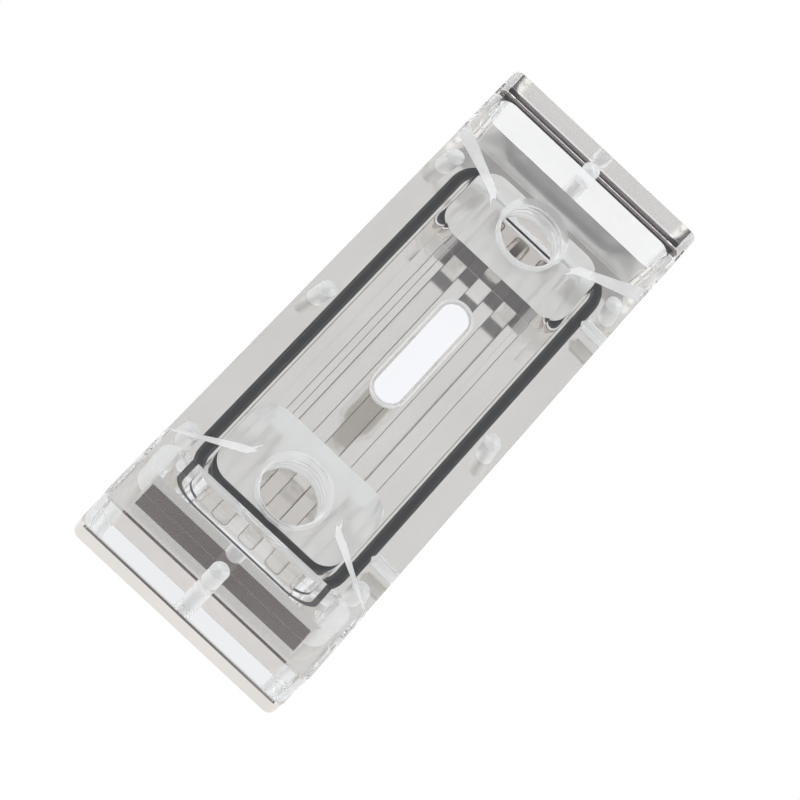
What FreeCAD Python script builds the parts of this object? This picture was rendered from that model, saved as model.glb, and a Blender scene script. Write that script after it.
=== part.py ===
"""Water cooling block: a clear cover screwed to a nickel-plated grooved base.

The block lies flat. X runs across it, Y along it and Z up. The origin is the
middle of the underside. All sizes are in millimetres.
"""
import FreeCAD, Part
import math
import os
import re

import Sketcher

doc = FreeCAD.newDocument("cooling_block")
UP = FreeCAD.Vector(0, 0, 1)

# Sizes that can be set one by one. An inset is measured inwards from the
# cover's own side or end, so its features keep their place when it changes.
DRIVING = {
    "block_length": 118.0,
    "cover_width": 44.0,
    "cover_height": 13.0,
    "cover_radius": 1.4,
    "cover_edge": 0.35,
    "base_overhang": 0.35,
    "base_height": 5.0,
    "base_edge": 0.3,
    "joint_film": 0.03,
    "port_inset": 24.2,
    "port_bore": 11.45,
    "port_mouth": 13.5,
    "bar_width": 6.6,
    "slot_wall": 1.4,
    "slot_along": 6.4,
    "slot_radius": 3.0,
    "slot_shift": 1.2,
    "chamber_inset": 8.4,
    "island_along": 48.2,
    "chamber_depth": 7.5,
    "chamber_radius": 4.0,
    "seal_wall": 0.5,
    "seal_width": 2.1,
    "seal_height": 1.7,
    "seal_play": 0.05,
    "seal_round": 0.5,
    "seal_shift": 0.6,
    "channel_width": 3.3,
    "channel_depth": 3.2,
    "channel_round": 0.85,
    "channel_inset": 0.4,
    "recess_across": 6.4,
    "recess_along": 25.4,
    "recess_depth": 2.5,
    "recess_edge": 0.35,
    "inlay_play": 0.5,
    "inlay_height": 2.1,
    "flank_width": 13.2,
    "facet_run": 1.1,
    "shelf_run": 2.3,
    "shelf_depth": 0.3,
    "side_depth": 2.5,
    "start_inset": 24.5,
    "shelf_inset": 22.8,
    "crease_inset": 21.5,
    "side_inset": 16.0,
    "ramp_run": 1.8,
    "screw_side_inset": 3.15,
    "screw_end_inset": 20.9,
    "screw_size": 3.0,
    "screw_play": 0.15,
    "head_size": 5.4,
    "head_height": 1.8,
    "head_sunk": 0.2,
    "head_play": 0.1,
    "screw_length": 7.0,
    "socket_across": 2.0,
    "socket_depth": 1.0,
    "drill_depth": 7.8,
    "side_hole_size": 3.0,
    "side_hole_depth": 4.9,
    "side_hole_inset": 27.5,
    "side_hole_drop": 7.5,
    "cut_margin": 1.0,
}

# Sizes that follow from them
DERIVED = {
    "half_length": "block_length / 2",
    "half_width": "cover_width / 2",
    "joint_level": "base_height + joint_film",
    "top_level": "joint_level + cover_height",
    "base_across": "half_width + base_overhang",
    "base_reach": "half_length + base_overhang",
    "base_radius": "cover_radius + base_overhang",
    "port_place": "half_length - port_inset",
    "port_floor": "joint_level + chamber_depth",
    "port_rim": "top_level - (port_mouth - port_bore) / 2",
    "slot_across": "half_width - slot_wall",
    "slot_outer": "half_length - bar_width - slot_shift",
    "slot_inner": "slot_outer - slot_along",
    "chamber_across": "half_width - chamber_inset",
    "groove_width": "seal_width + 2 * seal_play",
    "groove_depth": "seal_height + seal_play - joint_film",
    "groove_level": "base_height - groove_depth",
    "groove_across": "chamber_across + seal_wall",
    "groove_reach": "slot_inner - slot_shift + seal_shift - seal_wall - groove_width",
    "groove_radius": "chamber_radius + seal_wall",
    "chamber_reach": "groove_reach - seal_wall",
    "chamber_near": "seal_shift - chamber_reach",
    "chamber_far": "seal_shift + chamber_reach",
    "island_near": "slot_shift - island_along / 2",
    "island_far": "slot_shift + island_along / 2",
    "channel_pitch": "(chamber_across - channel_width / 2) / 2",
    "screw_across": "half_width - screw_side_inset",
    "screw_along": "half_length - screw_end_inset",
    "bar_screw_near": "slot_shift - slot_outer - bar_width / 2",
    "bar_screw_far": "slot_shift + slot_outer + bar_width / 2",
    "screw_hole": "screw_size + 2 * screw_play",
    "sunk_size": "head_size + 2 * head_play",
    "sunk_depth": "head_height + head_sunk",
    "socket_corner": "socket_across / sqrt(3)",
    "side_hole_place": "half_length - side_hole_inset",
    "flank_start": "half_width - flank_width",
    "flank_shelf": "flank_start + facet_run",
    "flank_crease": "flank_shelf + shelf_run",
    "flank_outside": "half_width + cut_margin",
    "start_reach": "half_length - start_inset",
    "shelf_reach": "half_length - shelf_inset",
    "crease_reach": "half_length - crease_inset",
    "side_reach": "half_length - side_inset",
    "outside_share": "(flank_outside - flank_crease) / (half_width - flank_crease)",
    "outside_depth": "shelf_depth + (side_depth - shelf_depth) * outside_share",
    "outside_reach": "crease_reach + (side_reach - crease_reach) * outside_share",
}
NAME = re.compile(r"[a-z]+(?:_[a-z]+)+")


def bound(formula):
    """A formula of size names, as the document's expressions write it."""
    return NAME.sub(r"sizes.\g<0>", formula)


sheet = doc.addObject("Spreadsheet::Sheet", "sizes")
cells = {name: "%g" % number for name, number in DRIVING.items()}
cells.update({name: "=" + formula for name, formula in DERIVED.items()})
for row, (name, content) in enumerate(cells.items(), start=1):
    sheet.set("A%d" % row, name)
    sheet.set("B%d" % row, content)
    sheet.setAlias("B%d" % row, name)
doc.recompute()


def value(formula):
    """The number that a formula of size names gives now."""
    return float(sheet.evalExpression(bound(formula)))


def new_body(label):
    """An empty piece with its own label."""
    body = doc.addObject("PartDesign::Body", label)
    body.Label = label
    return body


def new_sketch(body, name, role, lift="0", across="0"):
    """A sketch on one of the piece's own planes, moved along and across it."""
    plane = next(part for part in body.Origin.OriginFeatures if part.Role == role)
    sketch = body.newObject("Sketcher::SketchObject", name)
    sketch.AttachmentSupport = [(plane, "")]
    sketch.MapMode = "FlatFace"
    sketch.setExpression("AttachmentOffset.Base.x", bound(across))
    sketch.setExpression("AttachmentOffset.Base.z", bound(lift))
    return sketch


def hold(sketch, kind, formula, *places):
    """Add one dimension to a sketch and drive it by a formula."""
    number = sketch.addConstraint(Sketcher.Constraint(kind, *places, value(formula)))
    sketch.setExpression("Constraints[%d]" % number, bound(formula))


def draw_circle(sketch, across, along, diameter):
    """A circle with its centre and diameter driven."""
    centre = FreeCAD.Vector(value(across), value(along), 0)
    circle = sketch.addGeometry(Part.Circle(centre, UP, value(diameter) / 2))
    hold(sketch, "DistanceX", across, -1, 1, circle, 3)
    hold(sketch, "DistanceY", along, -1, 1, circle, 3)
    hold(sketch, "Diameter", diameter, circle)


def draw_polygon(sketch, corners):
    """A closed outline with every corner driven by two formulas."""
    points = [FreeCAD.Vector(value(across), value(along), 0) for across, along in corners]
    lines = []
    for start, end in zip(points, points[1:] + points[:1]):
        lines.append(sketch.addGeometry(Part.LineSegment(start, end)))
    for number, (across, along) in enumerate(corners):
        sketch.addConstraint(Sketcher.Constraint("Coincident", lines[number], 1, lines[number - 1], 2))
        hold(sketch, "DistanceX", across, -1, 1, lines[number], 1)
        hold(sketch, "DistanceY", along, -1, 1, lines[number], 1)


def draw_frame(sketch, left, right, low, high, radius):
    """A rectangle with round corners, its four sides and its radius driven."""
    west, east, south, north = (value(side) for side in (left, right, low, high))
    bend = value(radius)
    turns = [(east - bend, south + bend), (east - bend, north - bend),
             (west + bend, north - bend), (west + bend, south + bend)]
    starts = [(west + bend, south), (east, south + bend), (east - bend, north), (west, north - bend)]
    ends = [(east - bend, south), (east, north - bend), (west + bend, north), (west, south + bend)]
    lines = []
    arcs = []
    for quarter in range(4):
        start = FreeCAD.Vector(*starts[quarter], 0)
        end = FreeCAD.Vector(*ends[quarter], 0)
        lines.append(sketch.addGeometry(Part.LineSegment(start, end)))
        circle = Part.Circle(FreeCAD.Vector(*turns[quarter], 0), UP, bend)
        angle = (quarter - 1) * math.pi / 2
        arcs.append(sketch.addGeometry(Part.ArcOfCircle(circle, angle, angle + math.pi / 2)))
    for quarter in range(4):
        level = "Horizontal" if quarter % 2 == 0 else "Vertical"
        following = lines[(quarter + 1) % 4]
        sketch.addConstraint(Sketcher.Constraint(level, lines[quarter]))
        sketch.addConstraint(Sketcher.Constraint("Tangent", lines[quarter], 2, arcs[quarter], 1))
        sketch.addConstraint(Sketcher.Constraint("Tangent", arcs[quarter], 2, following, 1))
    for arc in arcs[1:]:
        sketch.addConstraint(Sketcher.Constraint("Equal", arcs[0], arc))
    hold(sketch, "Radius", radius, arcs[0])
    hold(sketch, "DistanceY", low, -1, 1, lines[0], 1)
    hold(sketch, "DistanceX", right, -1, 1, lines[1], 1)
    hold(sketch, "DistanceY", high, -1, 1, lines[2], 1)
    hold(sketch, "DistanceX", left, -1, 1, lines[3], 1)


def draw_band(sketch, inner, outer):
    """A closed band around the chambers, its two edges set off from the groove's inner edge."""
    for widen in (inner, outer):
        draw_frame(sketch, "-groove_across - (%s)" % widen, "groove_across + " + widen,
                   "seal_shift - groove_reach - (%s)" % widen, "seal_shift + groove_reach + " + widen,
                   "groove_radius + " + widen)


def draw_stadium(sketch, across, along, middle):
    """A slot outline along Y with round ends."""
    radius = value(across) / 2
    half = (value(along) - value(across)) / 2
    low = value(middle) - half
    high = value(middle) + half
    top = Part.Circle(FreeCAD.Vector(0, high, 0), UP, radius)
    bottom = Part.Circle(FreeCAD.Vector(0, low, 0), UP, radius)
    right_line = Part.LineSegment(FreeCAD.Vector(radius, low, 0), FreeCAD.Vector(radius, high, 0))
    left_line = Part.LineSegment(FreeCAD.Vector(-radius, high, 0), FreeCAD.Vector(-radius, low, 0))
    right = sketch.addGeometry(right_line)
    upper = sketch.addGeometry(Part.ArcOfCircle(top, 0, math.pi))
    left = sketch.addGeometry(left_line)
    lower = sketch.addGeometry(Part.ArcOfCircle(bottom, math.pi, 2 * math.pi))
    ring = [right, upper, left, lower]
    for first, second in zip(ring, ring[1:] + ring[:1]):
        sketch.addConstraint(Sketcher.Constraint("Tangent", first, 2, second, 1))
    sketch.addConstraint(Sketcher.Constraint("Equal", upper, lower))
    hold(sketch, "Radius", "(%s) / 2" % across, upper)
    for arc, sign in ((upper, "+"), (lower, "-")):
        hold(sketch, "DistanceX", "0", -1, 1, arc, 3)
        centre = "%s %s (%s - (%s)) / 2" % (middle, sign, along, across)
        hold(sketch, "DistanceY", centre, -1, 1, arc, 3)


def extrude(body, kind, name, sketch, length, backwards=False):
    """A pad or a pocket of one sketch."""
    feature = body.newObject("PartDesign::" + kind, name)
    feature.Profile = sketch
    feature.setExpression("Length", bound(length))
    feature.Reversed = backwards
    sketch.Visibility = False
    return feature


def turn(body, kind, name, sketch, axis="V_Axis"):
    """A revolution or a groove of one sketch about one of its own axes."""
    feature = body.newObject("PartDesign::" + kind, name)
    feature.Profile = sketch
    feature.ReferenceAxis = (sketch, [axis])
    feature.Angle = 360
    sketch.Visibility = False
    return feature


def drill(body, name, sketch, diameter, depth, upwards=False):
    """Drilled holes with pointed ends at the circles of one sketch."""
    doc.recompute()
    holes = body.newObject("PartDesign::Hole", name)
    holes.Profile = sketch
    holes.Reversed = upwards
    holes.DepthType = "Dimension"
    holes.DrillPoint = "Angled"
    holes.DrillPointAngle = 118
    holes.setExpression("Diameter", bound(diameter))
    holes.setExpression("Depth", bound(depth))
    sketch.Visibility = False
    return holes


def break_edges(body, name, size, wanted):
    """A chamfer on each edge of the piece so far that the test picks."""
    doc.recompute()
    base = body.Tip
    edges = []
    for number, edge in enumerate(base.Shape.Edges, start=1):
        if wanted(edge.BoundBox):
            edges.append("Edge%d" % number)
    chamfer = body.newObject("PartDesign::Chamfer", name)
    chamfer.Base = (base, edges)
    chamfer.setExpression("Size", bound(size))
    return chamfer


def at_level(formula):
    """A test for edges that lie flat at one height."""
    level = value(formula)
    return lambda box: abs(box.ZMin - level) < 0.001 and abs(box.ZMax - level) < 0.001


def cut_slots(body, level, depth):
    """The two long windows across the block that pass through both plates."""
    for end in ("near", "far"):
        sketch = new_sketch(body, end + "_slot_outline", "XY_Plane", level)
        low, high = "slot_shift + slot_inner", "slot_shift + slot_outer"
        if end == "near":
            low, high = "slot_shift - slot_outer", "slot_shift - slot_inner"
        draw_frame(sketch, "-slot_across", "slot_across", low, high, "slot_radius")
        extrude(body, "Pocket", end + "_slot", sketch, depth)


# Screw places: three along each side and one on each end bar
SCREW_PLACES = [
    (side + "screw_across", place)
    for place in ("-screw_along", "0", "screw_along")
    for side in ("-", "")
]
SCREW_PLACES += [("0", "bar_screw_near"), ("0", "bar_screw_far")]


def make_cover():
    """The clear cover with its ports, chambers, recess and blind holes."""
    body = new_body("clear_cover")
    outline = new_sketch(body, "cover_outline", "XY_Plane", "joint_level")
    draw_frame(outline, "-half_width", "half_width", "-half_length", "half_length", "cover_radius")
    extrude(body, "Pad", "cover_slab", outline, "cover_height")
    lower = at_level("joint_level")
    upper = at_level("top_level")
    break_edges(body, "cover_edges", "cover_edge", lambda box: lower(box) or upper(box))

    lower_flanks(body)
    cut_slots(body, "top_level", "cover_height")

    recess = new_sketch(body, "recess_outline", "XY_Plane", "top_level")
    draw_stadium(recess, "recess_across", "recess_along", "slot_shift")
    extrude(body, "Pocket", "recess", recess, "recess_depth")
    half = value("recess_across / 2 + recess_edge")
    break_edges(body, "recess_rim", "recess_edge", lambda box: upper(box) and box.XMax < half and box.XMin > -half)

    for end, sign in (("near", ""), ("far", "-")):
        port = new_sketch(body, end + "_port_profile", "XZ_Plane", sign + "port_place")
        draw_polygon(port, [
            ("0", "port_floor"),
            ("port_bore / 2", "port_floor"),
            ("port_bore / 2", "port_rim"),
            ("port_mouth / 2", "top_level"),
            ("port_mouth / 2", "top_level + cut_margin"),
            ("0", "top_level + cut_margin"),
        ])
        turn(body, "Groove", end + "_port", port)

    for end in ("near", "far"):
        chamber = new_sketch(body, end + "_chamber_outline", "XY_Plane", "joint_level")
        low, high = "island_far", "chamber_far"
        if end == "near":
            low, high = "chamber_near", "island_near"
        draw_frame(chamber, "-chamber_across", "chamber_across", low, high, "chamber_radius")
        extrude(body, "Pocket", end + "_chamber", chamber, "chamber_depth", backwards=True)

    blind = new_sketch(body, "blind_hole_places", "XY_Plane", "joint_level")
    for across, along in SCREW_PLACES:
        draw_circle(blind, across, along, "screw_hole")
    drill(body, "blind_holes", blind, "screw_hole", "drill_depth", upwards=True)

    sides = new_sketch(body, "side_hole_places", "YZ_Plane", "half_width")
    for sign in ("-", ""):
        draw_circle(sides, sign + "side_hole_place", "top_level - side_hole_drop", "side_hole_size")
    drill(body, "side_holes", sides, "side_hole_size", "side_hole_depth")
    return body


def lower_flanks(body):
    """Lower both sides between the end zones: a facet, a shelf and a slope.

    One loft with straight rulings runs outward through four upright sections.
    Each is open to the sky and has a ramp at both of its ends.
    """
    sections = (
        ("flank_start", "0", "start_reach"),
        ("flank_shelf", "shelf_depth", "shelf_reach"),
        ("flank_crease", "shelf_depth", "crease_reach"),
        ("flank_outside", "outside_depth", "outside_reach"),
    )
    sketches = []
    for number, (across, depth, reach) in enumerate(sections, start=1):
        sketch = new_sketch(body, "flank_section_%d" % number, "YZ_Plane", across)
        draw_polygon(sketch, [
            ("-" + reach, "top_level + cut_margin"),
            ("-" + reach, "top_level"),
            ("ramp_run - " + reach, "top_level - " + depth),
            (reach + " - ramp_run", "top_level - " + depth),
            (reach, "top_level"),
            (reach, "top_level + cut_margin"),
        ])
        sketch.Visibility = False
        sketches.append(sketch)
    loft = body.newObject("PartDesign::SubtractiveLoft", "right_flank")
    loft.Profile = sketches[0]
    loft.Sections = sketches[1:]
    loft.Ruled = True
    doc.recompute()
    mirror = body.newObject("PartDesign::Mirrored", "left_flank")
    mirror.Originals = [loft]
    plane = next(part for part in body.Origin.OriginFeatures if part.Role == "YZ_Plane")
    mirror.MirrorPlane = (plane, [""])
    body.Tip = mirror
    doc.recompute()


def make_base():
    """The plated base with its windows, flow channels, seal groove and sunk screw holes."""
    body = new_body("base_plate")
    outline = new_sketch(body, "base_outline", "XY_Plane")
    draw_frame(outline, "-base_across", "base_across", "-base_reach", "base_reach", "base_radius")
    extrude(body, "Pad", "base_slab", outline, "base_height")
    lower = at_level("0")
    upper = at_level("base_height")
    break_edges(body, "base_edges", "base_edge", lambda box: lower(box) or upper(box))
    cut_slots(body, "base_height", "base_height")

    channels = new_sketch(body, "channel_outlines", "XY_Plane", "base_height")
    for step in (-2, -1, 0, 1, 2):
        middle = "%d * channel_pitch" % step
        left = middle + " - channel_width / 2"
        right = middle + " + channel_width / 2"
        draw_frame(channels, left, right, "chamber_near + channel_inset", "chamber_far - channel_inset",
                   "channel_round")
    extrude(body, "Pocket", "channels", channels, "channel_depth")

    groove = new_sketch(body, "seal_groove_outline", "XY_Plane", "base_height")
    draw_band(groove, "0", "groove_width")
    extrude(body, "Pocket", "seal_groove", groove, "groove_depth")

    sunk = new_sketch(body, "sunk_hole_places", "XY_Plane")
    for across, along in SCREW_PLACES:
        draw_circle(sunk, across, along, "screw_hole")
    holes = drill(body, "sunk_holes", sunk, "screw_hole", "base_height", upwards=True)
    holes.DepthType = "ThroughAll"
    holes.HoleCutType = "Counterbore"
    holes.HoleCutCustomValues = True
    holes.setExpression("HoleCutDiameter", bound("sunk_size"))
    holes.setExpression("HoleCutDepth", bound("sunk_depth"))
    return body


def make_seal():
    """The rubber ring, which lies in the groove of the base."""
    body = new_body("seal_ring")
    ring = new_sketch(body, "seal_outline", "XY_Plane", "groove_level")
    draw_band(ring, "seal_play", "seal_play + seal_width")
    extrude(body, "Pad", "seal_band", ring, "seal_height")
    lower = at_level("groove_level")
    upper = at_level("groove_level + seal_height")
    break_edges(body, "seal_edges", "seal_round", lambda box: lower(box) or upper(box))
    return body


def make_inlay():
    """The plain white plate that lies in the middle recess."""
    body = new_body("white_inlay")
    outline = new_sketch(body, "inlay_outline", "XY_Plane", "top_level - recess_depth + joint_film")
    draw_stadium(outline, "recess_across - 2 * inlay_play", "recess_along - 2 * inlay_play", "slot_shift")
    extrude(body, "Pad", "inlay_slab", outline, "inlay_height")
    return body


def make_screw(number, across, along):
    """One low-head screw, head down, with a six-sided socket."""
    body = new_body("base_screw_%d" % number)
    head = new_sketch(body, "head_outline_%d" % number, "XY_Plane")
    draw_circle(head, "0", "0", "head_size")
    extrude(body, "Pad", "head_%d" % number, head, "head_height")
    shank = new_sketch(body, "shank_outline_%d" % number, "XY_Plane")
    draw_circle(shank, "0", "0", "screw_size")
    extrude(body, "Pad", "shank_%d" % number, shank, "head_height + screw_length")
    socket = new_sketch(body, "socket_outline_%d" % number, "XY_Plane")
    draw_polygon(socket, [
        ("socket_corner", "0"),
        ("socket_corner / 2", "socket_across / 2"),
        ("-socket_corner / 2", "socket_across / 2"),
        ("-socket_corner", "0"),
        ("-socket_corner / 2", "-socket_across / 2"),
        ("socket_corner / 2", "-socket_across / 2"),
    ])
    extrude(body, "Pocket", "socket_%d" % number, socket, "socket_depth", backwards=True)
    body.setExpression("Placement.Base.x", bound(across))
    body.setExpression("Placement.Base.y", bound(along))
    body.setExpression("Placement.Base.z", bound("head_sunk"))
    return body


pieces = [make_cover(), make_base(), make_seal(), make_inlay()]
for number, (across, along) in enumerate(SCREW_PLACES, start=1):
    pieces.append(make_screw(number, across, along))
doc.recompute()

for thing in doc.Objects:
    if "Invalid" in thing.State or "Error" in thing.State:
        raise RuntimeError("%s did not build: %s" % (thing.Name, thing.State))
os.makedirs("parts", exist_ok=True)
for piece in pieces:
    if piece.Shape.isNull() or not piece.Shape.isValid() or len(piece.Shape.Solids) != 1:
        raise RuntimeError("%s is not one sound solid" % piece.Label)
for piece in pieces:
    piece.Shape.exportStep("parts/%s.step" % piece.Label)
    box = piece.Shape.BoundBox
    print("%-14s %9.2f mm3  %.2f x %.2f x %.2f" % (piece.Label, piece.Shape.Volume, box.XLength, box.YLength,
                                                   box.ZLength))
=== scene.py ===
# %% [markdown]
# The water cooling block is a clear plastic cover on a bright plated base. Everything that makes
# it look real happens inside the cover: milled pockets, a black seal ring, threads and a grooved
# metal floor, all bent and mirrored by the plastic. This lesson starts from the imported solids,
# keeps their sizes, and gives every surface the finish that its tool left on the real block.

# %% Load the frame
import math

import bmesh
import bpy
import numpy as np
from mathutils import Matrix, Vector


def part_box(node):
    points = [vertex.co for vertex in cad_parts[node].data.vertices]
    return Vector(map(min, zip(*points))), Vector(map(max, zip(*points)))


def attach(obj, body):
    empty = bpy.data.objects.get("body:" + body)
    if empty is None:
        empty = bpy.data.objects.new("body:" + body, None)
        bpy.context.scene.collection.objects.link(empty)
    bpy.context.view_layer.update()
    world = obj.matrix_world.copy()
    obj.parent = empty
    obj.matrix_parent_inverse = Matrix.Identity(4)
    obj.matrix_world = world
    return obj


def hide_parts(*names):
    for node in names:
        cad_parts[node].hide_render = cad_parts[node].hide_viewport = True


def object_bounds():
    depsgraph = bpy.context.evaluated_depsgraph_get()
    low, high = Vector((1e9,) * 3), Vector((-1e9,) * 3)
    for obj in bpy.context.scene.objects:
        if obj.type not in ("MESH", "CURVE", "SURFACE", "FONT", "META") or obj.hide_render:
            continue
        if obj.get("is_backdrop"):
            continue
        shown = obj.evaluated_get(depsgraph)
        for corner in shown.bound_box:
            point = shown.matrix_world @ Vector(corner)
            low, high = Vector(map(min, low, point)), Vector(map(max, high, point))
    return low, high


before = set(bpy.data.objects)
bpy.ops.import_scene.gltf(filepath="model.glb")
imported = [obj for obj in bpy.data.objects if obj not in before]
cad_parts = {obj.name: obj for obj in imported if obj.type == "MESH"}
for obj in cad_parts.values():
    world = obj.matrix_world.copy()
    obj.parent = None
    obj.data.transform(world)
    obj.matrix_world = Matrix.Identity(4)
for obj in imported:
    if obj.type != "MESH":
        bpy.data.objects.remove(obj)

cad_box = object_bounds()
MM = 0.001
low, high = (np.array(corner) for corner in cad_box)
print("block", ((high - low) / MM).round(2), "mm, nodes", sorted(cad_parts))

# %% [markdown]
# The camera comes first, because every later choice is judged through it. It stands half a metre
# away, tips down over the near end and is twisted, so the block runs corner to corner. A long
# lens keeps the two long sides almost parallel, as in the product photograph.

# %% Camera
IMAGE_SIDE = 800
FOCAL_PIXELS = 2989.0
SENSOR = 36.0
NEAREST_SEEN = 0.01
LOOK_AT = Vector((2.6, -8.8, 18.03)) * MM
DISTANCE = 500.0 * MM
TILT = math.radians(31.31)
TURN = math.radians(-1.41)
TWIST = math.radians(44.3)

camera_data = bpy.data.cameras.new("camera")
camera_data.sensor_width = SENSOR
camera_data.lens = FOCAL_PIXELS * SENSOR / IMAGE_SIDE
camera_data.clip_start = NEAREST_SEEN
camera = bpy.data.objects.new("camera", camera_data)
bpy.context.scene.collection.objects.link(camera)
aim = Matrix.Rotation(TURN, 4, "Z") @ Matrix.Rotation(TILT, 4, "X")
aim = aim @ Matrix.Rotation(TWIST, 4, "Z")
camera.matrix_world = Matrix.Translation(LOOK_AT) @ aim @ Matrix.Translation((0, 0, DISTANCE))
bpy.context.scene.camera = camera
stands = [round(x / MM, 1) for x in camera.matrix_world.translation]
print("camera at", stands, "mm, lens", round(camera_data.lens, 1), "mm")

# %% [markdown]
# Every finish here is a small network of nodes. Written out call by call, such networks are long
# and hard to read, so a few helpers add a node with its settings, join two nodes, and build the
# groups that come back again and again: a sum, a smooth step, a mix, a colour ramp and a bump.
# An input that comes from another node is given as a pair of the node and its output.

# %% Node helpers
def new_material(name):
    """A material with its shader emptied, ready for nodes."""
    material = bpy.data.materials.new(name)
    material.use_nodes = True
    material.node_tree.nodes.clear()
    output = material.node_tree.nodes.new("ShaderNodeOutputMaterial")
    return material, material.node_tree, output


def add(tree, kind, **settings):
    """One node with its settings. Names that start with in_ are socket values."""
    node = tree.nodes.new("ShaderNode" + kind)
    for key, content in settings.items():
        if key.startswith("in_"):
            socket = key[3:]
            place = int(socket) if socket.isdigit() else socket.replace("_", " ")
            node.inputs[place].default_value = content
        else:
            setattr(node, key, content)
    return node


def wire(tree, start, end):
    """One link, each end given as (node, socket)."""
    tree.links.new(start[0].outputs[start[1]], end[0].inputs[end[1]])


def math_node(tree, operation, *inputs):
    """A math node with each input a number or a (node, socket) pair."""
    node = add(tree, "Math", operation=operation)
    for place, entry in enumerate(inputs):
        if isinstance(entry, tuple):
            wire(tree, entry, (node, place))
        else:
            node.inputs[place].default_value = entry
    return node, 0


print("helpers", new_material.__name__, add.__name__, wire.__name__, math_node.__name__)

# %% Helpers for steps, mixes, ramps and bumps
MIX_FIRST, MIX_SECOND, MIX_RESULT = 6, 7, 2


def smooth_step(tree, entry, start, full):
    """Zero up to the start, one from the full value on, and an S-shaped rise between them."""
    step = add(tree, "MapRange", interpolation_type="SMOOTHSTEP", in_1=start, in_2=full)
    wire(tree, entry, (step, 0))
    return step, 0


def mix_colours(tree, share, first, second):
    """The first colour at share zero and the second at share one, each a colour or a pair."""
    mix = add(tree, "Mix", data_type="RGBA")
    wire(tree, share, (mix, 0))
    for place, entry in ((MIX_FIRST, first), (MIX_SECOND, second)):
        if len(entry) == 2:
            wire(tree, entry, (mix, place))
        else:
            mix.inputs[place].default_value = entry
    return mix, MIX_RESULT


def mix_shaders(tree, share, first, second):
    """The first shader at share zero and the second at share one."""
    mix = add(tree, "MixShader")
    for place, entry in enumerate((share, first, second)):
        wire(tree, entry, (mix, place))
    return mix, 0


def two_tones(tree, entry, first, second, start=0.0, end=1.0):
    """A colour ramp from the first colour at the start to the second at the end."""
    ramp = add(tree, "ValToRGB")
    stops = zip(ramp.color_ramp.elements, (start, end), (first, second))
    for stop, place, colour in stops:
        stop.position = place
        stop.color = (*colour, 1.0)
    wire(tree, entry, (ramp, 0))
    return ramp, 0


def raise_surface(tree, entry, shader, strength, depth):
    """A bump on the shader from a texture's value, with the depth in millimetres."""
    bump = add(tree, "Bump", in_Strength=strength, in_Distance=depth * MM)
    wire(tree, entry, (bump, "Height"))
    wire(tree, (bump, 0), (shader, "Normal"))


print("helpers", smooth_step.__name__, mix_colours.__name__, mix_shaders.__name__,
      two_tones.__name__, raise_surface.__name__)

# %% [markdown]
# Clear plastic shows whatever stands around it, so the studio is part of the finish. The block
# lies on a pale floor inside a white tent that is brighter high up at both sides. Behind the
# camera the tent is open to a dark room, and that darkness, caught by the plating and the upright
# walls, draws the grey bands and the dark squares inside the cover. Boxes and lamps would do it
# too, but a world whose colour depends on the heading alone is simple to tune.

# %% Tent
WHITE = (1.0, 1.0, 1.0, 1.0)
TENT_WHITE = (0.85, 0.86, 0.885, 1.0)
ROOM_DARK = (0.13, 0.127, 0.138, 1.0)
SIDE_LIGHT = (1.35, 1.35, 1.35, 1.0)
SIDE_FROM, SIDE_FULL = 0.4, 0.65
RAISED_FROM, RAISED_FULL = 0.2, 0.45
SIDE_SHARE = 0.8
# How dark the tent is, by how far a heading points to the open side
DARK_SHARES = [(0.385, 0.0), (0.53, 1.0), (0.66, 1.0), (0.76, 0.25), (0.83, 0.25), (0.88, 1.0)]

world = bpy.data.worlds.new("tent")
bpy.context.scene.world = world
world.use_nodes = True
tree = world.node_tree
tree.nodes.clear()
heading = add(tree, "SeparateXYZ")
wire(tree, (add(tree, "TexCoord"), "Generated"), (heading, 0))
sideways = math_node(tree, "ABSOLUTE", (heading, 0))
forwards = math_node(tree, "MULTIPLY", (heading, 1), -1.0)
nearness = math_node(tree, "MULTIPLY_ADD", sideways, -SIDE_SHARE, forwards)
darkness = add(tree, "ValToRGB")
darkness.color_ramp.interpolation = "EASE"
stops = darkness.color_ramp.elements
for number, (place, share) in enumerate(DARK_SHARES):
    stop = stops[0] if number == 0 else stops.new(place)
    stop.position = place
    stop.color = (share, share, share, 1.0)
stops.remove(stops[-1])
wire(tree, nearness, (darkness, 0))
beside = smooth_step(tree, sideways, SIDE_FROM, SIDE_FULL)
raised = smooth_step(tree, (heading, 2), RAISED_FROM, RAISED_FULL)
lit = mix_colours(tree, math_node(tree, "MULTIPLY", beside, raised), TENT_WHITE, SIDE_LIGHT)
walls = mix_colours(tree, (darkness, 0), lit, ROOM_DARK)
surround = add(tree, "Background", in_Strength=1.0)
wire(tree, walls, (surround, 0))
backdrop = add(tree, "Background", in_Color=WHITE, in_Strength=1.0)
seen = (add(tree, "LightPath"), "Is Camera Ray")
tent = mix_shaders(tree, seen, (surround, 0), (backdrop, 0))
wire(tree, tent, (add(tree, "OutputWorld"), 0))
print("tent with", len(stops), "steps of darkness and", len(tree.nodes), "nodes")

# %% [markdown]
# The floor is a sheet of pale paper, which the camera and the plating see as pure white, as on a
# product page. A matt floor alone would be grey under the block, and that is right for what
# comes through the plastic, so only a ray that was mirrored finds the glow. A ray that passed
# the plastic finds half of it, and only beside the block. A ray that passed a polished face
# counts as mirrored as well, so its own share is taken away first.

# %% Floor
FLOOR_SIDE = 3.0
FLOOR_DROP = 0.05
FLOOR_GLOW = 0.5
# Painted shadow: the paper under the block's footprint is darker and warmer than beside it.
FLOOR_PAINTED_SHADOW = (0.93, 0.885, 0.86, 1.0)
FLOOR_OPEN = (0.93, 0.93, 0.94, 1.0)

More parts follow.
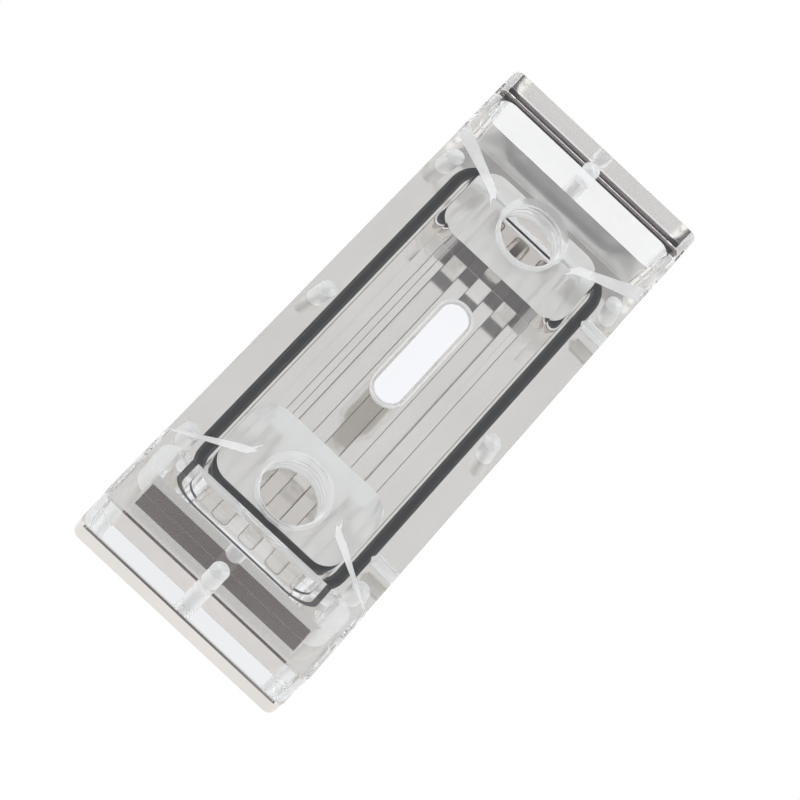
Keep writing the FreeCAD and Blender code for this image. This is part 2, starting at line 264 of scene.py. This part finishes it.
material, tree, output = new_material("pale_floor")
place = add(tree, "SeparateXYZ")
wire(tree, (add(tree, "TexCoord"), "Object"), (place, 0))
aside = math_node(tree, "GREATER_THAN", math_node(tree, "ABSOLUTE", (place, 0)), high[0])
beyond = math_node(tree, "GREATER_THAN", math_node(tree, "ABSOLUTE", (place, 1)), high[1])
open_floor = math_node(tree, "MAXIMUM", aside, beyond)
paper = add(tree, "BsdfDiffuse")
wire(tree, mix_colours(tree, open_floor, FLOOR_PAINTED_SHADOW, FLOOR_OPEN), (paper, 0))
glow = add(tree, "Emission", in_Color=WHITE, in_Strength=1.0)
path = add(tree, "LightPath")
passed = (path, "Is Transmission Ray")
mirrored = math_node(tree, "SUBTRACT", (path, "Is Glossy Ray"), passed)
half_lit = math_node(tree, "MULTIPLY", passed, math_node(tree, "MULTIPLY", open_floor, FLOOR_GLOW))
mirrored = math_node(tree, "MAXIMUM", mirrored, half_lit)
glowing = math_node(tree, "MAXIMUM", (path, "Is Camera Ray"), mirrored)
wire(tree, mix_shaders(tree, glowing, (paper, 0), (glow, 0)), (output, 0))

half = FLOOR_SIDE / 2
corners = [(-half, -half, 0), (half, -half, 0), (half, half, 0), (-half, half, 0)]
floor_mesh = bpy.data.meshes.new("floor")
floor_mesh.from_pydata(corners, [], [(0, 1, 2, 3)])
floor = bpy.data.objects.new("floor", floor_mesh)
floor.data.materials.append(material)
floor.location.z = low[2] - FLOOR_DROP * MM
bpy.context.scene.collection.objects.link(floor)
floor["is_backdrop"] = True
print("floor", FLOOR_SIDE, "m wide,", FLOOR_DROP, "mm below the block")

# %% [markdown]
# A ray that enters the cover meets many walls before it leaves: a chamber, an island, the base
# and the way back. With few bounces those places turn black, so the limits are set high. Single
# bright sparks from the plating are held down, and sharp reflections aren't blurred to save time.

# %% Light paths
WALLS_PASSED = 24
MIRRORS_MET = 16
BRIGHTEST_SPARK = 4.0

scene = bpy.context.scene
scene.view_settings.view_transform = "Standard"
scene.cycles.max_bounces = WALLS_PASSED
scene.cycles.transmission_bounces = WALLS_PASSED
scene.cycles.glossy_bounces = MIRRORS_MET
scene.cycles.transparent_max_bounces = MIRRORS_MET
scene.cycles.blur_glossy = 0.0
scene.cycles.sample_clamp_indirect = BRIGHTEST_SPARK
print("light follows", WALLS_PASSED, "walls and", MIRRORS_MET, "mirrors")

# %% [markdown]
# The cover is one block of acrylic. Its outside and most of its underside were polished, and the
# faces that a cutter left range from satin to frosted. A finish is a matter of two numbers, how
# rough the face is and how much light still comes through, and of a grain as fine as the
# cutter's marks. Five such finishes are enough for the whole cover.

# %% Cover finish
ACRYLIC_INDEX = 1.49
ACRYLIC_TINT = (0.985, 0.99, 0.988, 1.0)
GRAIN_DEPTH = 0.02
POLISHED, MILLED, SATIN, FROSTED, SCRAPED = range(5)
# Name, roughness, clearness, strength of the grain, scale of the grain
FINISHES = [("polished_acrylic", 0.0, 1.0, 0.001, 300.0),
            ("milled_acrylic", 0.2, 0.75, 0.1, 1500.0),
            ("flank_acrylic", 0.05, 1.0, 0.015, 1200.0),
            ("frosted_acrylic", 0.4, 0.4, 0.4, 1500.0),
            ("scraped_acrylic", 0.22, 0.66, 0.3, 1500.0)]


def clear_plastic(name, roughness, clearness, grain, grain_scale):
    """Acrylic that is see-through, smooth or frosted, with fine cutter grain as bump."""
    material, tree, output = new_material(name)
    shader = add(tree, "BsdfPrincipled", in_Roughness=roughness, in_IOR=ACRYLIC_INDEX)
    shader.inputs["Base Color"].default_value = ACRYLIC_TINT
    shader.inputs["Transmission Weight"].default_value = clearness
    noise = add(tree, "TexNoise", in_Scale=grain_scale, in_Detail=3.0, in_Roughness=0.6)
    wire(tree, (add(tree, "TexCoord"), "Object"), (noise, "Vector"))
    raise_surface(tree, (noise, 0), shader, grain, GRAIN_DEPTH)
    wire(tree, (shader, 0), (output, 0))
    return material


cover_finishes = [clear_plastic(*numbers) for numbers in FINISHES]
print("cover finishes", [material.name for material in cover_finishes])

# %% [markdown]
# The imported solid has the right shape, but it is a heap of loose flat triangles, and through
# clear plastic every facet shows. So the piece is a copy of it: its triangles are joined, and
# each corner gets the normal of the true surface. Smoothing by an angle alone would bend the
# light on a flat face wherever a round edge runs into it, so the flat faces are found first, by
# their area, and keep their own normal.

# %% Tell flat faces from round ones
FLAT_AREA = 16.0
SAME_PLANE = 0.999995


def read(items, name, width, kind=float):
    """One attribute of many mesh items as an array."""
    numbers = np.empty(len(items) * width, kind)
    items.foreach_get(name, numbers)
    return numbers.reshape(-1, width) if width > 1 else numbers


def plane_areas(mesh, normal, area):
    """For each face, the area of the flat patch that it belongs to.

    Faces that share an edge and a normal take the lowest label of the two, again and again,
    until no label changes, and the areas are added up by label.
    """
    edge = read(mesh.loops, "edge_index", 1, np.int32)
    face = np.repeat(np.arange(len(area)), 3)
    order = np.argsort(edge, kind="stable")
    pairs = order[:len(order) // 2 * 2].reshape(-1, 2)
    one, two = face[pairs[:, 0]], face[pairs[:, 1]]
    level = (normal[one] * normal[two]).sum(1) > SAME_PLANE
    one, two = one[level], two[level]
    label = np.arange(len(area))
    while True:
        lowest = label.copy()
        np.minimum.at(lowest, one, label[two])
        np.minimum.at(lowest, two, label[one])
        lowest = lowest[lowest]
        if (lowest == label).all():
            break
        label = lowest
    return np.bincount(label, area, len(area))[label]


print("a patch counts as flat from", FLAT_AREA, "square millimetres on")

# %% Normals of the true surface
ROUND_TURN = math.cos(math.radians(30))
TANGENT_TURN = math.cos(math.radians(13))
FLAT_WEIGHT = 50.0


def true_normals(mesh):
    """Corner normals of a solid: flat on its planes, turning smoothly on its round faces.

    A corner of a big flat patch keeps the patch's normal. A corner of a round face takes the
    sum of the normals around its vertex that turn little from its own, with a flat patch that
    runs into it tangentially counted far more than the rest.
    """
    normal = read(mesh.polygons, "normal", 3)
    area = read(mesh.polygons, "area", 1) / MM ** 2
    flat = plane_areas(mesh, normal, area) > FLAT_AREA
    vertex = read(mesh.loops, "vertex_index", 1, np.int32)
    face = np.repeat(np.arange(len(area)), 3)
    order = np.argsort(vertex, kind="stable")
    count = np.bincount(vertex, minlength=len(mesh.vertices))
    start = np.cumsum(count) - count
    around = count[vertex]
    corner = np.repeat(np.arange(len(vertex)), around)
    step = np.arange(around.sum()) - np.repeat(np.cumsum(around) - around, around)
    other = face[order[start[vertex[corner]] + step]]
    own = face[corner]
    turn = (normal[own] * normal[other]).sum(1)
    limit = np.where(flat[other], TANGENT_TURN, ROUND_TURN)
    weight = np.sqrt(area[other]) * np.where(flat[other], FLAT_WEIGHT, 1.0) * (turn > limit)
    weight = np.where(flat[own], own == other, weight)
    total = np.stack([np.bincount(corner, weight * normal[other, axis], len(vertex))
                      for axis in range(3)], 1)
    return total / np.linalg.norm(total, axis=1, keepdims=True)


print("round faces share a normal up to a cosine of", round(ROUND_TURN, 3))

# %% Copy a solid and shade it truly
JOINED_WITHIN = 0.0005


def shade_truly(mesh):
    """The mesh's faces set smooth, with the corner normals of the true surface."""
    mesh.polygons.foreach_set("use_smooth", np.ones(len(mesh.polygons), bool))
    mesh.normals_split_custom_set(true_normals(mesh))


def smooth_copy(node, name):
    """The node's own mesh with its triangles joined and its corner normals set."""
    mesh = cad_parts[node].data.copy()
    mesh.name = name
    joined = bmesh.new()
    joined.from_mesh(mesh)
    bmesh.ops.remove_doubles(joined, verts=joined.verts, dist=JOINED_WITHIN * MM)
    joined.to_mesh(mesh)
    joined.free()
    mesh.materials.clear()
    shade_truly(mesh)
    piece = bpy.data.objects.new(name, mesh)
    bpy.context.scene.collection.objects.link(piece)
    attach(piece, "root")
    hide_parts(node)
    return piece


cover = smooth_copy("clear_cover", "cover_dressed")
print("cover", len(cover.data.vertices), "points,", len(cover.data.polygons), "faces")

# %% [markdown]
# Each port of the real block has a thread: a V groove that climbs around the wall by 1.337 mm a
# turn. A bump could fake it on metal, but here light passes through the wall, so the groove is
# cut in the mesh. The smooth wall is taken out, and a new one, worked out on a grid of turns and
# heights, closes the gap. Its rows start at the rim's own points, so no crack is left.

# %% Thread in a port wall
PITCH = 1.337
THREAD_RISE = 0.8
WAVE_SLOPE, WAVE_CREST = 2.9, 0.86
RUN_OUT = 0.35
AROUND = 3
ROWS_A_TURN = 14
MOUTH_REACH = 1.6
RIM_LEVEL = 0.002


def thread_wall(mesh, middle_y, floor_z, top_z, bore):
    """A bored port wall with a V thread cut into it, as points and faces.

    The rows follow the rim's own corner points, so the wall closes on the solid at both ends.
    The radius at a height is the larger of the mouth's cone and the bore plus a triangle wave
    of the height and the turn around the axis, faded out at the bottom.
    """
    points = read(mesh.vertices, "co", 3) / MM
    away = points - np.array([0.0, middle_y, 0.0])
    radius = np.hypot(away[:, 0], away[:, 1])
    level = np.abs(points[:, 2] - top_z) < RIM_LEVEL
    rim = np.flatnonzero(level & (radius < bore + MOUTH_REACH))
    mouth = radius[rim].mean()
    turn = np.sort(np.arctan2(away[rim, 1], away[rim, 0]))
    turn = np.append(turn, turn[0] + 2 * np.pi)
    share = np.arange(AROUND) / AROUND
    fine = (turn[:-1, None] + share * np.diff(turn)[:, None]).ravel()
    spread = np.repeat(np.diff(turn), AROUND) / 2
    offset = fine - np.repeat(turn[:-1], AROUND) - spread
    chord = np.cos(spread) / np.cos(offset)
    rows = int((top_z - floor_z) / PITCH * ROWS_A_TURN)
    height = np.linspace(0.0, top_z - floor_z, rows + 1)[:, None]
    phase = (height / PITCH - fine[None, :] / (2 * np.pi)) % 1.0
    wave = np.clip(1.0 - np.abs(phase - 0.5) * WAVE_SLOPE, 0.0, WAVE_CREST)
    fade = np.clip(height / PITCH - RUN_OUT, 0.0, 1.0)
    cone = np.maximum(bore, mouth - (top_z - floor_z - height))
    reach = np.maximum(cone, bore + THREAD_RISE * wave * fade)
    at_ends = (height <= 0) | (height >= top_z - floor_z)
    reach = reach * np.where(at_ends, chord[None, :], 1.0)
    grid = np.stack([reach * np.cos(fine), middle_y + reach * np.sin(fine),
                     np.broadcast_to(floor_z + height, reach.shape)], 2)
    count = len(fine)
    lower = np.arange(rows)[:, None] * count + np.arange(count)
    after = np.arange(rows)[:, None] * count + (np.arange(count) + 1) % count
    quads = np.stack([lower, lower + count, after + count, after], 2).reshape(-1, 4)
    faces = np.concatenate([quads[:, (0, 1, 2)], quads[:, (0, 2, 3)]])
    return grid.reshape(-1, 3) * MM, faces


print("thread of", PITCH, "mm a turn in", ROWS_A_TURN, "rows a turn")

# %% Threaded ports in the cover
PORT_PLACE, PORT_FLOOR, PORT_BORE = 34.8, 12.53, 5.725
CLEAR_OF = 0.01


def face_facts(mesh):
    """Each face's centre and normal as two arrays, in millimetres and unit length."""
    return read(mesh.polygons, "center", 3) / MM, read(mesh.polygons, "normal", 3)


def cut_threads(mesh, places, floor_z, bore):
    """The mesh again with the smooth walls of its ports swapped for threaded ones."""
    centre, _ = face_facts(mesh)
    top_z = read(mesh.vertices, "co", 3)[:, 2].max() / MM
    between = (centre[:, 2] > floor_z + CLEAR_OF) & (centre[:, 2] < top_z - CLEAR_OF)
    smooth = np.zeros(len(centre), bool)
    for middle_y in places:
        near = np.hypot(centre[:, 0], centre[:, 1] - middle_y) < bore + MOUTH_REACH
        smooth |= near & between
    points = [read(mesh.vertices, "co", 3)]
    faces = [read(mesh.loops, "vertex_index", 1, np.int32).reshape(-1, 3)[~smooth]]
    for middle_y in places:
        grid, wall = thread_wall(mesh, middle_y, floor_z, top_z, bore)
        faces.append(wall + sum(len(part) for part in points))
        points.append(grid)
    threaded = bpy.data.meshes.new(mesh.name)
    threaded.from_pydata(np.concatenate(points), [], np.concatenate(faces))
    return threaded


cover.data = cut_threads(cover.data, (-PORT_PLACE, PORT_PLACE), PORT_FLOOR, PORT_BORE)
shade_truly(cover.data)
print("threaded cover", len(cover.data.vertices), "points,", len(cover.data.polygons), "faces")

# %% [markdown]
# Which finish a face has follows from the cutter that made it, and that from its place. Painting
# a mask by hand would have to be done again after every change of the solids, so the faces are
# sorted by where their centre lies and where they look: all are polished at first, and each
# group that a cutter left takes its own finish. All places are in millimetres.

# %% Which faces are drilled
SCREWS = [(x, y) for x in (-18.85, 18.85) for y in (-38.1, 0.0, 38.1)]
SCREWS += [(0.0, -53.3), (0.0, 55.7)]
SCREW_REACH, SCREW_DEPTH = 1.7, 9.0
SIDE_HOLES, SIDE_HOLE_LEVEL, SIDE_HOLE_REACH, SIDE_HOLE_END = (-31.5, 31.5), 10.53, 1.6, 15.0


def drilled_faces(centre, bottom):
    """The faces whose centre is near the axis of a screw hole or a side hole."""
    x_place, y_place, height = centre.T
    drilled = np.zeros(len(centre), bool)
    for x, y in SCREWS:
        near = np.hypot(x_place - x, y_place - y) < SCREW_REACH
        drilled |= (height < bottom + SCREW_DEPTH) & near
    for y in SIDE_HOLES:
        near = np.hypot(y_place - y, height - SIDE_HOLE_LEVEL) < SIDE_HOLE_REACH
        drilled |= (x_place > SIDE_HOLE_END) & near
    return drilled


print("holes", len(SCREWS), "for screws and", len(SIDE_HOLES), "in the side")

# %% Which cutter made which face
OUTER_ACROSS, OUTER_ALONG = 21.6, 58.6
ROOF_ABOVE_BOTTOM, ROOF_BELOW_TOP = 3.0, 2.0
WALL_ACROSS, ISLAND_WALL, ISLAND_REACH, WINDOW_WALL, WINDOW_REACH = 20.0, -24.0, 1.5, 46.0, 0.1
WINDOW_HALF_ACROSS, WINDOW_MIDDLE, WINDOW_HALF_ALONG = 20.9, 49.2, 3.4
CORNER_ACROSS, CORNER_ALONG = 12.0, 43.0
RECESS_ACROSS, RECESS_ALONG, RECESS_DEPTH = 4.5, 16.0, 2.6
FLANK_ACROSS, FLANK_DROP = 8.7, 4.0
PORT_REACH = 6.9
# How far a face looks up or along, as a share of its normal
LEVEL, SLOPED, LENGTHWISE = 0.9, 0.5, 0.3
UPRIGHT, CORNER_TURN, RAMP_LEAN = 0.1, 0.08, 0.05


def cover_finish(mesh):
    """For each face of the cover: 0 polished, 1 milled, 2 satin, 3 frosted, 4 scraped.

    Milled are the island's near wall and the port threads. Satin are the flanks. Frosted are
    the flanks' end ramps, the round upright corners outside the far window, the wall of the
    inlay's recess and the screw and side holes. Scraped are the chamber roofs and the far
    window's inner wall.
    """
    centre, normal = face_facts(mesh)
    bottom, top = (corner[2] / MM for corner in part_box("clear_cover"))
    across, along, height = np.abs(centre[:, 0]), np.abs(centre[:, 1]), centre[:, 2]
    lean = np.abs(normal)
    below_top = height < top - CLEAR_OF
    inside = (across < OUTER_ACROSS) & (along < OUTER_ALONG)
    buried = inside & (height > bottom + CLEAR_OF) & below_top
    roof = buried & (normal[:, 2] < -LEVEL)
    roof &= (height > bottom + ROOF_ABOVE_BOTTOM) & (height < top - ROOF_BELOW_TOP)
    wall = buried & (lean[:, 1] > LENGTHWISE) & (across < WALL_ACROSS)
    island = wall & (np.abs(centre[:, 1] - ISLAND_WALL) < ISLAND_REACH)
    window = wall & (np.abs(centre[:, 1] - WINDOW_WALL) < WINDOW_REACH)
    in_window = np.abs(centre[:, 1] - WINDOW_MIDDLE) < WINDOW_HALF_ALONG
    in_window &= across < WINDOW_HALF_ACROSS
    corner = (lean[:, 2] < UPRIGHT) & (lean[:, 0] > CORNER_TURN) & (lean[:, 1] > CORNER_TURN)
    corner &= (along > CORNER_ALONG) & (across > CORNER_ACROSS) & ~in_window
    recess = buried & (across < RECESS_ACROSS) & (along < RECESS_ALONG)
    recess &= (height > top - RECESS_DEPTH) & (normal[:, 2] < LEVEL)
    flank = inside & (across > FLANK_ACROSS) & (normal[:, 2] > SLOPED)
    flank &= below_top & (height > top - FLANK_DROP)
    ramp = flank & (lean[:, 1] > RAMP_LEAN)
    port = buried & (np.hypot(across, along - PORT_PLACE) < PORT_REACH)
    port &= height > PORT_FLOOR + CLEAR_OF
    drilled = buried & drilled_faces(centre, bottom)
    finish = np.full(len(centre), POLISHED, np.int32)
    finish[island | port] = MILLED
    finish[flank] = SATIN
    finish[ramp | recess | corner | drilled] = FROSTED
    finish[roof | window] = SCRAPED
    return finish


for material in cover_finishes:
    cover.data.materials.append(material)
finish = cover_finish(cover.data)
cover.data.polygons.foreach_set("material_index", finish)
print("cover faces by finish", np.bincount(finish))

# %% [markdown]
# The base is copper with bright nickel over it. The plating keeps the faint cutter lines of the
# copper below, mostly along the block, so the reflection is a little drawn out in one direction.
# Under each end bar, beside the wall at its far side, a darker strip of painted shade is laid on
# it, and at the far end a bright line of painted highlight runs along that strip. Both lie on the
# top face only. The solid's own mesh is right as it is, so only its material changes.

# %% Painted shade and highlight on the plating
# Painted shade in the two dark strips and a painted highlight in the bright line, top face only.
PAINTED_SHADE = (0.22, 0.187, 0.178, 1.0)
PAINTED_HIGHLIGHT = (0.97, 0.97, 0.97, 1.0)
BASE_TOP = 4.95
NEAR_STRIP, NEAR_STRIP_ACROSS = (-52.4, -49.0), (-17.6, 17.6)
FAR_STRIP, FAR_LINE = (57.45, 60.0), (57.1, 57.45)


def band(tree, place, start, end):
    """One between two places in millimetres and zero outside them."""
    above = math_node(tree, "GREATER_THAN", place, start * MM)
    return math_node(tree, "MULTIPLY", above, math_node(tree, "LESS_THAN", place, end * MM))


def paint_shade_and_highlight(tree, place, metal):
    """The metal's colour with painted shade in two strips and a painted highlight line on top."""
    spot = add(tree, "SeparateXYZ")
    wire(tree, place, (spot, 0))
    on_top = math_node(tree, "GREATER_THAN", (spot, 2), BASE_TOP * MM)
    near = math_node(tree, "MULTIPLY", band(tree, (spot, 1), *NEAR_STRIP),
                     band(tree, (spot, 0), *NEAR_STRIP_ACROSS))
    dark = math_node(tree, "MAXIMUM", near, band(tree, (spot, 1), *FAR_STRIP))
    with_painted_shade = mix_colours(tree, math_node(tree, "MULTIPLY", on_top, dark), metal, PAINTED_SHADE)
    line = math_node(tree, "MULTIPLY", on_top, band(tree, (spot, 1), *FAR_LINE))
    return mix_colours(tree, line, with_painted_shade, PAINTED_HIGHLIGHT)


print("dark strips along y", NEAR_STRIP, FAR_STRIP, "mm, bright line", FAR_LINE, "mm")

# %% Plated base
NICKEL_DEEP, NICKEL_PALE = (0.74, 0.71, 0.675), (0.78, 0.75, 0.715)
CLOUD_FROM, CLOUD_TO = 0.3, 0.7
SHEEN_SMOOTH, SHEEN_ROUGH = 0.08, 0.17
LINES_ALONG = (1.0, 0.02, 1.0)
METAL_GRAIN, METAL_GRAIN_DEPTH = 0.12, 0.01


def plated_metal(name):
    """Nickel: a warm grey mirror with faint lines, slight clouds and painted shade and highlight
    by two walls.
    """
    material, tree, output = new_material(name)
    shader = add(tree, "BsdfPrincipled", in_Metallic=1.0)
    place = (add(tree, "TexCoord"), "Object")
    stretch = add(tree, "Mapping", in_Scale=LINES_ALONG)
    lines = add(tree, "TexNoise", in_Scale=2500.0, in_Detail=4.0)
    clouds = add(tree, "TexNoise", in_Scale=60.0, in_Detail=3.0)
    wire(tree, place, (stretch, "Vector"))
    wire(tree, (stretch, 0), (lines, "Vector"))
    wire(tree, place, (clouds, "Vector"))
    tone = two_tones(tree, (clouds, 0), NICKEL_DEEP, NICKEL_PALE, CLOUD_FROM, CLOUD_TO)
    wire(tree, paint_shade_and_highlight(tree, place, tone), (shader, "Base Color"))
    sheen = add(tree, "MapRange", in_3=SHEEN_SMOOTH, in_4=SHEEN_ROUGH)
    wire(tree, (lines, 0), (sheen, 0))
    wire(tree, (sheen, 0), (shader, "Roughness"))
    raise_surface(tree, (lines, 0), shader, METAL_GRAIN, METAL_GRAIN_DEPTH)
    wire(tree, (shader, 0), (output, 0))
    return material


def dress(node, material):
    """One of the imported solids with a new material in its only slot."""
    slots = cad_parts[node].data.materials
    slots.clear()
    slots.append(material)


dress("base_plate", plated_metal("nickel_plating"))
print("base plate in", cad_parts["base_plate"].data.materials[0].name)

# %% [markdown]
# The small parts are a black rubber ring, a white plastic inlay and steel screws, and painted
# shade makes the channel edges dull and dark. None of them is one flat colour in daylight, so
# each mixes two close tones with a fine noise, and the same noise raises its surface a little.

# %% Seal, inlay and screws
COAT_GRAIN, COAT_GRAIN_DEPTH = 0.2, 0.01


def coated(name, colour, other, roughness, metallic=0.0, scale=800.0):
    """A mottled surface of two close colours with a fine grain."""
    material, tree, output = new_material(name)
    shader = add(tree, "BsdfPrincipled", in_Roughness=roughness, in_Metallic=metallic)
    noise = add(tree, "TexNoise", in_Scale=scale, in_Detail=4.0)
    wire(tree, (add(tree, "TexCoord"), "Object"), (noise, "Vector"))
    wire(tree, two_tones(tree, (noise, 0), colour, other), (shader, "Base Color"))
    raise_surface(tree, (noise, 0), shader, COAT_GRAIN, COAT_GRAIN_DEPTH)
    wire(tree, (shader, 0), (output, 0))
    return material


rubber = coated("seal_rubber", (0.006, 0.006, 0.008), (0.012, 0.012, 0.014), 0.5)
inlay_white = coated("inlay_white", (0.97, 0.97, 0.985), (0.99, 0.99, 1.0), 0.3, scale=200.0)
screw_steel = coated("screw_steel", (0.42, 0.42, 0.43), (0.56, 0.56, 0.57), 0.3, 1.0)
# Painted shade: the cord along each channel's edge is coloured dark for the shade there.
painted_edge_shade = coated("painted_edge_shade", (0.1, 0.093, 0.088), (0.15, 0.14, 0.13), 0.6)
dress("white_inlay", inlay_white)
screws = [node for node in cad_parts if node.startswith("base_screw")]
for node in screws:
    dress(node, screw_steel)
print("white inlay and", len(screws), "screws dressed")

# %% [markdown]
# The seal and the channel edges are both thin cords laid along a rectangle with round corners. A
# curve with a round bevel would give a round section only, so both are swept in code: one
# function places the points of the path, and the other carries a small section along it.

# %% Sweep a small section around a frame
def frame_path(half_across, near, far, radius, steps):
    """Points of a round-cornered rectangle and the outward direction at each.

    A point is its corner's centre plus the radius times (cos a, sin a), with a running round.
    """
    quarter = np.linspace(0.0, np.pi / 2, steps)
    angle = (np.arange(4)[:, None] * np.pi / 2 + quarter).ravel()
    outward = np.stack([np.cos(angle), np.sin(angle)], 1)
    inner_across, inner_far, inner_near = half_across - radius, far - radius, near + radius
    centre = np.repeat([(inner_across, inner_far), (-inner_across, inner_far),
                        (-inner_across, inner_near), (inner_across, inner_near)], steps, axis=0)
    return centre + radius * outward, outward


def sweep(name, paths, half_width, half_height, level, power, steps, material, slot):
    """Closed cords along the paths, in one piece.

    The section at turn t is the rounded box (W |cos t|^p, H |sin t|^p) with the signs of the
    cosine and the sine, laid along the path's outward direction and upwards from the level.
    """
    turn = np.arange(steps) * 2 * np.pi / steps
    out = half_width * np.sign(np.cos(turn)) * np.abs(np.cos(turn)) ** power
    up = half_height * np.sign(np.sin(turn)) * np.abs(np.sin(turn)) ** power
    points, faces, start = [], [], 0
    for path, outward in paths:
        flat = path[:, None, :] + out[None, :, None] * outward[:, None, :]
        height = np.broadcast_to(level + up, flat.shape[:2])
        points.append(np.concatenate([flat, height[:, :, None]], 2).reshape(-1, 3))
        row = np.arange(len(path))[:, None] * steps
        after = (np.arange(len(path))[:, None] + 1) % len(path) * steps
        column = np.arange(steps)
        beside = (column + 1) % steps
        quads = np.stack([row + column, after + column, after + beside, row + beside], 2)
        faces.append(start + quads.reshape(-1, 4))
        start += len(path) * steps
    mesh = bpy.data.meshes.new(name)
    mesh.from_pydata(np.concatenate(points) * MM, [], np.concatenate(faces))
    mesh.polygons.foreach_set("use_smooth", np.ones(len(mesh.polygons), bool))
    mesh.materials.append(material)
    piece = bpy.data.objects.new(name, mesh)
    bpy.context.scene.collection.objects.link(piece)
    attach(piece, "root")
    return piece


print("helpers", frame_path.__name__, sweep.__name__)

# %% [markdown]
# The seal lies in its groove in the base and presses into the cover by 0.02 mm. That contact is
# what makes it look black from above, because no film of air is left between them to mirror the
# light. The dark line along each channel of the base is a far smaller cord that lies on the
# channel's edge, its dark colour painted shade.

# %% Seal ring and channel edges
SEAL_SHIFT, SEAL_MIDDLE, SEAL_REACH, SEAL_BEND = 0.6, 15.2, 42.6, 5.6
seal_path = frame_path(SEAL_MIDDLE, SEAL_SHIFT - SEAL_REACH, SEAL_SHIFT + SEAL_REACH,
                       SEAL_BEND, steps=24)
seal = sweep("seal_dressed", [seal_path], half_width=1.05, half_height=0.88, level=4.17,
             power=0.5, steps=48, material=rubber, slot="seal_rubber")
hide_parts("seal_ring")

CHANNEL_PITCH, CHANNEL_HALF, CHANNEL_ROUND = 5.975, 1.65, 0.85
CHANNEL_NEAR, CHANNEL_FAR = -40.0, 41.2
path, outward = frame_path(CHANNEL_HALF, CHANNEL_NEAR, CHANNEL_FAR, CHANNEL_ROUND, steps=8)
channel_paths = [(path + (step * CHANNEL_PITCH, 0.0), outward) for step in (-2, -1, 0, 1, 2)]
edges = sweep("channel_edges", channel_paths, half_width=0.075, half_height=0.04, level=4.97,
              power=1.0, steps=8, material=painted_edge_shade, slot="plated_metal")
print("seal and edges", len(seal.data.polygons), len(edges.data.polygons), "faces")

# %% [markdown]
# The dressed block has to be as big as the solids that it stands for. Both boxes are compared.

# %% Check the size
grown = np.abs(np.array(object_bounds()) - np.array(cad_box)).max() / MM
print("the dressed box is within", round(float(grown), 3), "mm of the solids' box")
